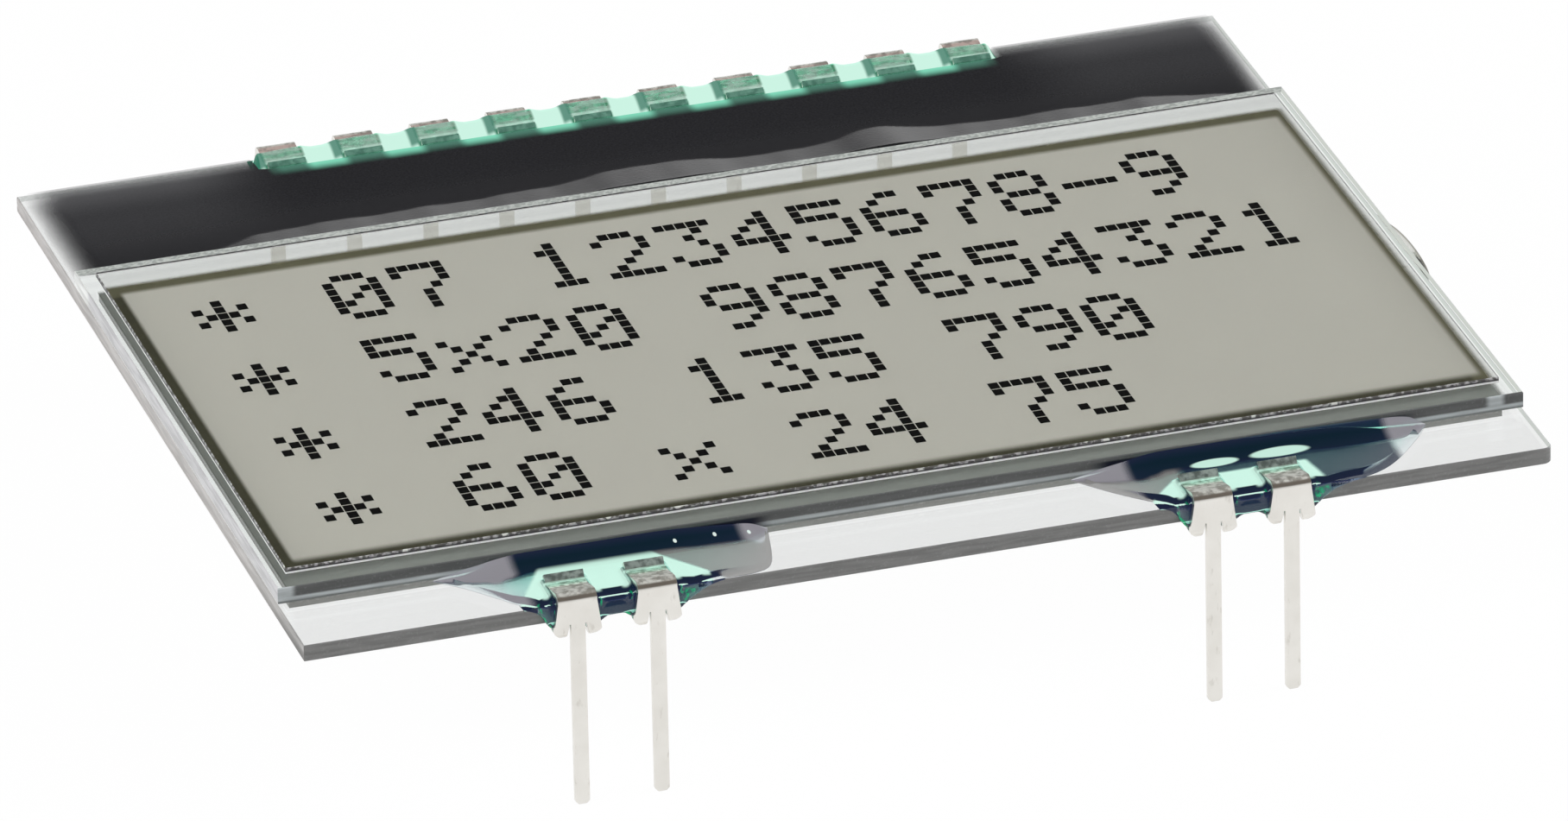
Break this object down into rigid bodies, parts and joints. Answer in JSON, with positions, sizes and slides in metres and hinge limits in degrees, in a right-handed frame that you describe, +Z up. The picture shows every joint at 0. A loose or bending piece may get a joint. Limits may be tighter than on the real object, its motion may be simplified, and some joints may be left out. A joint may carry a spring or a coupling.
{
  "type": "lcd display",
  "caption": "Flat glass character display: bonded plates with polarisers, a coated driver chip and glued edge-clip pins that solder into a board.",
  "frame": {"origin": "middle of the rear glass plate in plan, on the plane of the leg tips", "axes": "+X to the right along the width, +Y to the rear, +Z up out of the display's face"},
  "size_m": [0.0404, 0.0336, 0.0075],
  "materials": {
    "glass": "clear float glass with cut, slightly chipped edges",
    "seal_epoxy": "thin printed epoxy line",
    "clear_resin": "clear cured drop",
    "liquid_crystal": "thin fluid layer",
    "front_film": "smooth polariser film with a rough cut edge",
    "rear_film": "polariser film with a reflector",
    "chip": "bare silicon die",
    "black_coat": "fine-grained black coat that thins out at its rims",
    "green_glue": "clear green adhesive, wet gloss",
    "tinned_strip": "tin-plated stamped strip"
  },
  "bodies": {
    "root": {"rear_glass": "glass", "front_glass": "glass", "perimeter_seal": "seal_epoxy", "fill_port_seal": "clear_resin", "liquid_crystal": "liquid_crystal", "front_polariser": "front_film", "rear_polariser": "rear_film", "driver_chip": "chip", "chip_coat": "black_coat", "front_left_glue": "green_glue", "front_right_glue": "green_glue", "rear_glue": "green_glue", "front_pin_1": "tinned_strip", "front_pin_2": "tinned_strip", "front_pin_3": "tinned_strip", "front_pin_4": "tinned_strip", "rear_pin_1": "tinned_strip", "rear_pin_2": "tinned_strip", "rear_pin_3": "tinned_strip", "rear_pin_4": "tinned_strip", "rear_pin_5": "tinned_strip", "rear_pin_6": "tinned_strip", "rear_pin_7": "tinned_strip", "rear_pin_8": "tinned_strip", "rear_pin_9": "tinned_strip", "rear_pin_10": "tinned_strip"}
  },
  "joints": []
}
